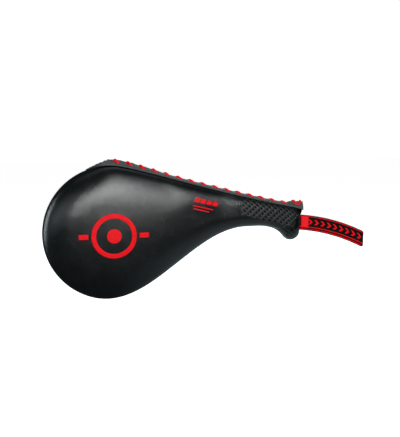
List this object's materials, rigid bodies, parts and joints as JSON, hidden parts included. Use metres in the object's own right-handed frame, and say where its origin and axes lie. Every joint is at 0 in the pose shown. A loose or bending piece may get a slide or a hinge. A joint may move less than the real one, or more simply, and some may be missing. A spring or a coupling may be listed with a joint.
{
  "type": "kick paddle",
  "caption": "Martial arts kick paddle: round padded striking head on a moulded grip, laced along its upper edge, with an elastic wrist loop.",
  "frame": {"origin": "centre of the round head, in the plane of the flat middle of its back face", "axes": "+X from the head's centre to the end of the grip, +Y out of the back face, +Z towards the laced edge; the printed front face looks along -Y"},
  "size_m": [0.4893, 0.0443, 0.2018],
  "materials": {
    "cover_leather": "satin",
    "pad_foam": "matt",
    "board": "matt",
    "former_foam": "matt",
    "lip_leather": "grained",
    "black_thread": "matt",
    "liner": "matt",
    "red_cord": "woven",
    "red_print": "satin print",
    "webbing": "woven",
    "red_label": "woven",
    "red_thread": "matt"
  },
  "bodies": {
    "paddle": {"front_cover": "cover_leather", "back_cover": "cover_leather", "front_pad": "pad_foam", "back_pad": "pad_foam", "core_board": "board", "front_grip_former": "former_foam", "back_grip_former": "former_foam", "front_lip": "lip_leather", "back_lip": "lip_leather", "front_lip_thread": "black_thread", "back_lip_thread": "black_thread", "tongue": "liner", "lace": "red_cord", "lace_lock": "red_cord", "emblem": "red_print", "strap_tail": "webbing"},
    "loop_root": {"strap_root": "webbing", "strap_label": "red_label", "label_thread": "red_thread"},
    "loop_front_near": {"strap_front_near": "webbing"},
    "loop_front_far": {"strap_front_far": "webbing"},
    "loop_end": {"strap_fold": "webbing"},
    "loop_back_near": {"strap_back_near": "webbing"},
    "loop_back_far": {"strap_back_far": "webbing"}
  },
  "joints": [
    {"name": "loop_swing", "type": "hinge", "parent": "paddle", "child": "loop_root", "pos_m": [0.2875, -0.022, 0.004], "axis": [0, 0, 1], "range_deg": [-60, 60]},
    {"name": "loop_open", "type": "hinge", "parent": "loop_root", "child": "loop_front_near", "pos_m": [0.2995, -0.0236, 0.003], "axis": [0, 0, -1], "range_deg": [0, 35]},
    {"name": "front_bend", "type": "hinge", "parent": "loop_front_near", "child": "loop_front_far", "pos_m": [0.3445, -0.0236, -0.006], "axis": [0, 0, 1], "range_deg": [0, 70]},
    {"name": "end_level", "type": "hinge", "parent": "loop_front_far", "child": "loop_end", "pos_m": [0.3895, -0.0236, -0.023], "axis": [0, 0, -1], "range_deg": [0, 35]},
    {"name": "back_open", "type": "hinge", "parent": "loop_root", "child": "loop_back_near", "pos_m": [0.2995, -0.0204, 0], "axis": [0, 0, 1], "range_deg": [0, 35]},
    {"name": "back_bend", "type": "hinge", "parent": "loop_back_near", "child": "loop_back_far", "pos_m": [0.3445, -0.0204, -0.01], "axis": [0, 0, -1], "range_deg": [0, 70]}
  ],
  "couplings": [
    {"joint": "front_bend", "follows": "loop_open", "ratio": 2},
    {"joint": "end_level", "follows": "loop_open", "ratio": 1},
    {"joint": "back_open", "follows": "loop_open", "ratio": 1},
    {"joint": "back_bend", "follows": "loop_open", "ratio": 2}
  ]
}
